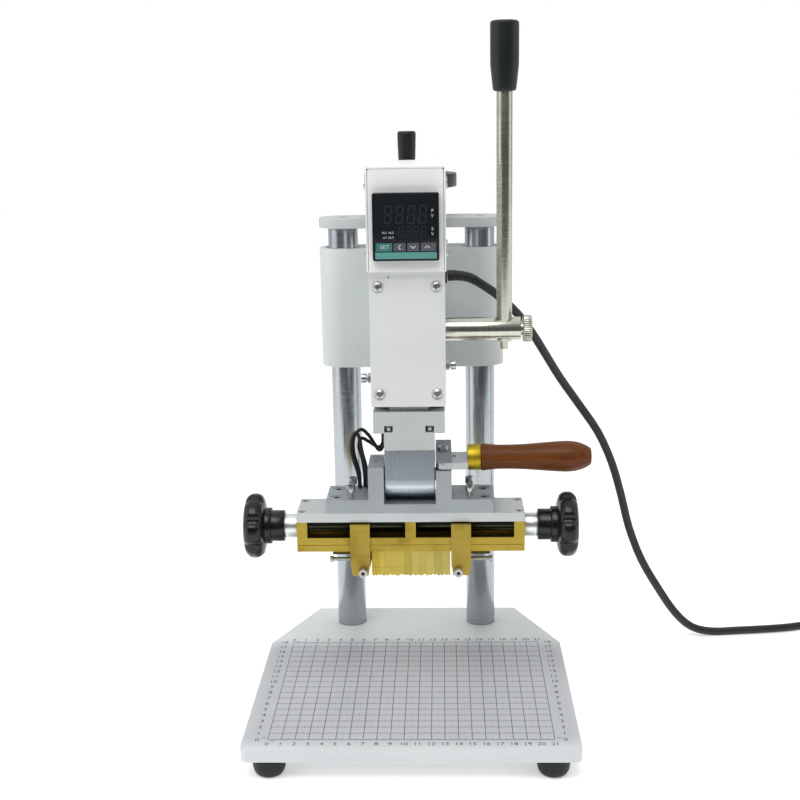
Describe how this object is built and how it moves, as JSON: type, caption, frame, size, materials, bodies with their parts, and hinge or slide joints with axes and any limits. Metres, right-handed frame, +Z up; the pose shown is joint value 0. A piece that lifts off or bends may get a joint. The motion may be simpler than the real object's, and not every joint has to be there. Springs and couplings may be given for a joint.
{
  "type": "hot foil stamping machine",
  "caption": "Hand-lever hot foil stamping press on two columns, with a flip-up heated type holder, side clamp knobs, a height handwheel and a square temperature controller.",
  "frame": {"origin": "on the table, under the middle of the base plate's outline", "axes": "+X to the operator's right, +Y away from the operator, +Z up along the columns"},
  "size_m": [0.6347, 0.4032, 0.538],
  "materials": {
    "base_paint": null,
    "white_paint": "satin powder coat",
    "grey_paint": "satin light grey",
    "steel": "machined",
    "dark_steel": "ground, dark grey",
    "chrome": "polished",
    "nickel": "nickel plated, satin",
    "anodised": "fine satin",
    "bronze": "machined bronze",
    "brass": "milled, slightly dulled",
    "polished_brass": "polished",
    "rubber": "moulded",
    "cord_black": "smooth sheath",
    "black_plastic": "moulded, fine grain",
    "gloss_black": "moulded, glossy",
    "teal_key": "membrane key",
    "grey_key": "membrane key",
    "red_plastic": "moulded",
    "wood": "stained and varnished"
  },
  "bodies": {
    "frame": {"base_plate": "base_paint", "rubber_feet": "rubber", "frame_screws": "steel", "left_column": "chrome", "right_column": "chrome", "top_plate": "white_paint", "mains_cord": "cord_black", "cord_coil": "cord_black", "mains_plug": "black_plastic"},
    "carriage": {"carriage_body": "white_paint", "bronze_bushes": "bronze", "lead_nut": "bronze", "front_cover": "white_paint", "panel_screws": "steel", "gib_screws": "steel", "control_chassis": "white_paint", "control_cover": "white_paint", "temperature_controller": "gloss_black", "cord_grommet": "rubber", "switch_frame": "black_plastic"},
    "set_key": {"key_set": "teal_key"},
    "shift_key": {"key_shift": "grey_key"},
    "down_key": {"key_down": "grey_key"},
    "up_key": {"key_up": "grey_key"},
    "switch_rocker": {"rocker": "red_plastic"},
    "ram_assembly": {"ram": "steel", "ram_cap": "steel", "return_springs": "steel", "bump_stops": "rubber", "flange_plate": "grey_paint", "tongue_block": "grey_paint", "tongue_screws": "steel", "hinge_block": "dark_steel"},
    "lever": {"pinion_shaft": "nickel", "pinion_gear": "steel", "lever_rod": "nickel", "lever_grip": "black_plastic"},
    "rod_screw": {"thumbscrew": "nickel"},
    "head": {"yoke": "anodised", "flip_pin": "steel", "yoke_screws": "steel", "levelling_screws": "steel", "heater_plate": "anodised", "heater_rods": "steel", "type_holder": "brass", "type_row": "brass", "heater_leads": "cord_black", "lock_screw": "steel"},
    "left_jaw": {"left_clamp": "brass"},
    "right_jaw": {"right_clamp": "brass"},
    "left_turn": {"left_spindle": "steel", "left_knob": "gloss_black"},
    "right_turn": {"right_spindle": "steel", "right_knob": "gloss_black"},
    "lock": {"lock_tang": "dark_steel", "handle_ferrule": "polished_brass", "wooden_handle": "wood"},
    "height_wheel": {"lead_screw": "steel", "handwheel": "black_plastic"},
    "crank": {"crank_grip": "black_plastic"}
  },
  "joints": [
    {"name": "height_wheel_turn", "type": "hinge", "parent": "frame", "child": "height_wheel", "pos_m": [0, 0.108, 0.4], "axis": [0, 0, 1], "range_deg": [-1351, 5401]},
    {"name": "carriage_lift", "type": "slide", "parent": "frame", "child": "carriage", "axis": [0, 0, 1], "range_m": [-0.06, 0.015]},
    {"name": "crank_spin", "type": "hinge", "parent": "height_wheel", "child": "crank", "pos_m": [-0.002, 0.07957, 0.43], "axis": [0, 0, 1], "continuous": true},
    {"name": "lever_swing", "type": "hinge", "parent": "carriage", "child": "lever", "pos_m": [0, 0.003, 0.3075], "axis": [1, 0, 0], "range_deg": [0, 90]},
    {"name": "ram_slide", "type": "slide", "parent": "carriage", "child": "ram_assembly", "axis": [0, 0, 1], "range_m": [-0.0285, 0], "stiffness_N_per_m": 1200, "springref_m": 0.055, "deforming": ["return_springs"]},
    {"name": "rod_screw_turn", "type": "hinge", "parent": "lever", "child": "rod_screw", "pos_m": [0.09, 0.003, 0.3075], "axis": [1, 0, 0], "range_deg": [0, 360]},
    {"name": "head_flip", "type": "hinge", "parent": "ram_assembly", "child": "head", "pos_m": [0, -0.028, 0.1999], "axis": [1, 0, 0], "range_deg": [-90, 0], "deforming": ["heater_leads"]},
    {"name": "lock_handle_turn", "type": "hinge", "parent": "head", "child": "lock", "pos_m": [0.0257, -0.04, 0.21], "axis": [0, 0, 1], "range_deg": [-30, 0]},
    {"name": "left_knob_turn", "type": "hinge", "parent": "head", "child": "left_turn", "pos_m": [-0.09, -0.0335, 0.1607], "axis": [1, 0, 0], "range_deg": [-91, 5401]},
    {"name": "left_jaw_slide", "type": "slide", "parent": "head", "child": "left_jaw", "axis": [-1, 0, 0], "range_m": [-0.0005, 0.03]},
    {"name": "right_knob_turn", "type": "hinge", "parent": "head", "child": "right_turn", "pos_m": [0.09, -0.0335, 0.1607], "axis": [1, 0, 0], "range_deg": [-91, 5401]},
    {"name": "right_jaw_slide", "type": "slide", "parent": "head", "child": "right_jaw", "axis": [1, 0, 0], "range_m": [-0.0005, 0.03]},
    {"name": "set_key_press", "type": "slide", "parent": "carriage", "child": "set_key", "axis": [0, 1, 0], "range_m": [0, 0.001], "stiffness_N_per_m": 400, "springref_m": -0.001},
    {"name": "shift_key_press", "type": "slide", "parent": "carriage", "child": "shift_key", "axis": [0, 1, 0], "range_m": [0, 0.001], "stiffness_N_per_m": 400, "springref_m": -0.001},
    {"name": "down_key_press", "type": "slide", "parent": "carriage", "child": "down_key", "axis": [0, 1, 0], "range_m": [0, 0.001], "stiffness_N_per_m": 400, "springref_m": -0.001},
    {"name": "up_key_press", "type": "slide", "parent": "carriage", "child": "up_key", "axis": [0, 1, 0], "range_m": [0, 0.001], "stiffness_N_per_m": 400, "springref_m": -0.001},
    {"name": "switch_rocker_tilt", "type": "hinge", "parent": "carriage", "child": "switch_rocker", "pos_m": [-0.008, 0.0534, 0.3853], "axis": [1, 0, 0], "range_deg": [0, 20]}
  ],
  "couplings": [
    {"joint": "height_wheel_turn", "follows": "carriage_lift", "rad_per_m": -1570.8},
    {"joint": "ram_slide", "follows": "lever_swing", "m_per_rad": -0.018},
    {"joint": "left_knob_turn", "follows": "left_jaw_slide", "rad_per_m": 3141.6},
    {"joint": "right_knob_turn", "follows": "right_jaw_slide", "rad_per_m": 3141.6}
  ]
}
